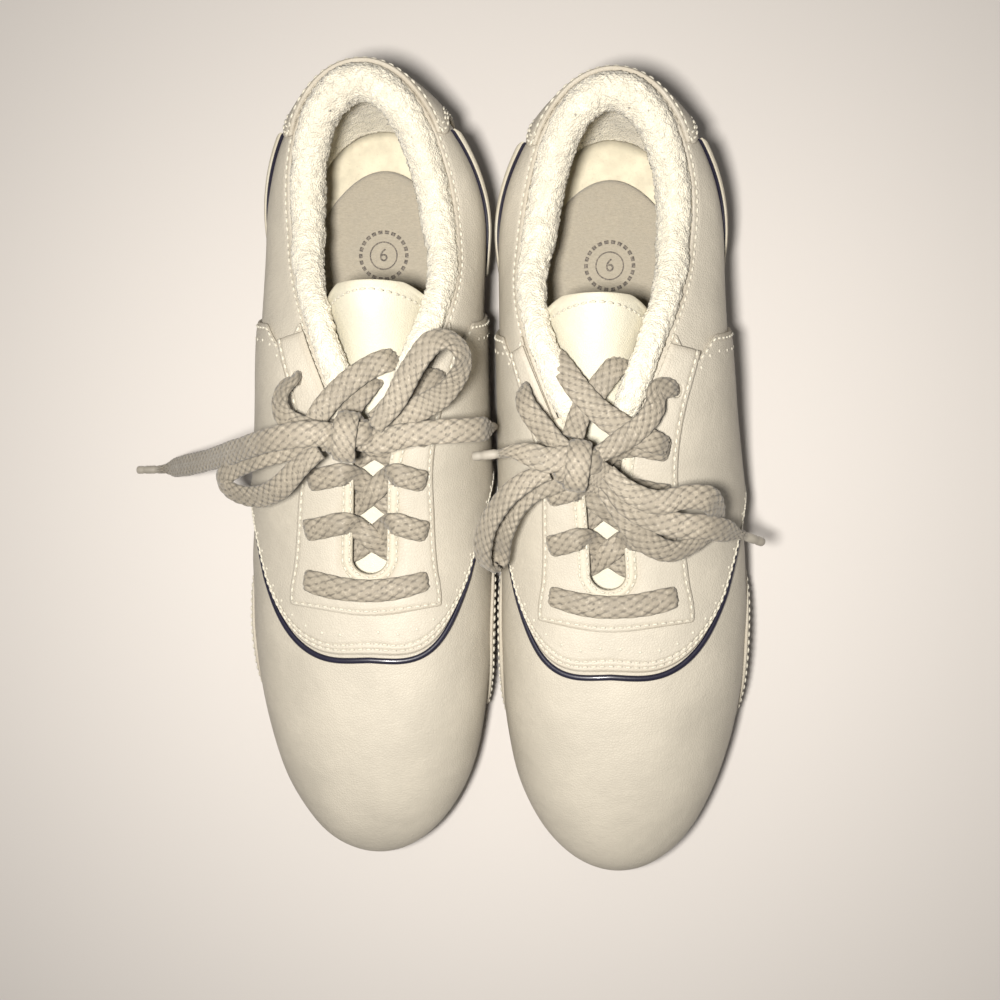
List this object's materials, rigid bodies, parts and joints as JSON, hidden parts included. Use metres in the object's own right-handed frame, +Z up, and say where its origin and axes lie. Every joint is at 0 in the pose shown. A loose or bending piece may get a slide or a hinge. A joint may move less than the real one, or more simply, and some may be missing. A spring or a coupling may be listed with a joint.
{
  "type": "cheer shoes",
  "caption": "Pair of low lace-up cheer shoes in pale leather, with padded terry collars, dark toe piping and flat braided laces tied in bows.",
  "frame": {"origin": "on the floor, at the middle of the box round the pair without its free lace ends", "axes": "+Z up; -Y towards the toes, +Y towards the heels; the wearer's left shoe stands on the +X side"},
  "size_m": [0.2241, 0.2662, 0.0974],
  "materials": {
    "leather": "smooth coated leather, satin",
    "tongue_leather": "smooth cream leather, satin",
    "binding": "thin cream edging with stitches",
    "piping": "navy piping, semi-gloss",
    "terry": "looped terry cloth",
    "felt": "brushed felt, light grey stamp",
    "insole_board": "smooth board cloth",
    "stiffener": "stiff foam and fibre, hidden",
    "sole_rubber": "matte pale rubber",
    "thread": "cream polyester thread",
    "lace": "flat braided lace with a shiny chunky weave",
    "aglet": "translucent plastic sleeve"
  },
  "bodies": {
    "left_shoe": {"left_outsole": "sole_rubber", "left_midsole": "sole_rubber", "left_insole_board": "insole_board", "left_sock_liner": "felt", "left_vamp": "leather", "left_toe_puff": "stiffener", "left_piping": "piping", "left_saddle": "leather", "left_eyestay": "leather", "left_throat_binding": "binding", "left_heel_counter": "stiffener", "left_heel_lining": "terry", "left_heel_tab": "leather", "left_collar": "terry", "left_quarter_outer": "leather", "left_side_stripe_outer": "binding", "left_flank_patch_outer": "leather", "left_quarter_inner": "leather", "left_side_stripe_inner": "binding", "left_flank_patch_inner": "leather", "left_lace_laced": "lace", "left_lace_knot": "lace", "left_lace_loop_a": "lace", "left_lace_loop_b": "lace", "left_lace_tail_a": "lace", "left_lace_tail_b": "lace", "left_aglet_a": "aglet", "left_aglet_b": "aglet"},
    "left_tongue": {"left_tongue": "tongue_leather", "left_tongue_pad": "stiffener"},
    "right_shoe": {"right_outsole": "sole_rubber", "right_midsole": "sole_rubber", "right_insole_board": "insole_board", "right_sock_liner": "felt", "right_vamp": "leather", "right_toe_puff": "stiffener", "right_piping": "piping", "right_saddle": "leather", "right_eyestay": "leather", "right_throat_binding": "binding", "right_heel_counter": "stiffener", "right_heel_lining": "terry", "right_heel_tab": "leather", "right_collar": "terry", "right_quarter_outer": "leather", "right_side_stripe_outer": "binding", "right_flank_patch_outer": "leather", "right_quarter_inner": "leather", "right_side_stripe_inner": "binding", "right_flank_patch_inner": "leather", "right_lace_laced": "lace", "right_lace_knot": "lace", "right_lace_loop_a": "lace", "right_lace_loop_b": "lace", "right_lace_tail_a": "lace", "right_lace_tail_b": "lace", "right_aglet_a": "aglet", "right_aglet_b": "aglet"},
    "right_tongue": {"right_tongue": "tongue_leather", "right_tongue_pad": "stiffener"}
  },
  "joints": [
    {"name": "right_shoe_apart", "type": "slide", "parent": "left_shoe", "child": "right_shoe", "axis": [-1, 0, 0], "range_m": [0, 0.12]},
    {"name": "left_tongue_press", "type": "hinge", "parent": "left_shoe", "child": "left_tongue", "pos_m": [0.0376, -0.0485, 0.0495], "axis": [-1, 0, 0], "range_deg": [0, 6], "stiffness_Nm_per_rad": 1},
    {"name": "right_tongue_press", "type": "hinge", "parent": "right_shoe", "child": "right_tongue", "pos_m": [-0.0376, -0.0441, 0.0495], "axis": [-1, 0, 0], "range_deg": [0, 6], "stiffness_Nm_per_rad": 1}
  ]
}
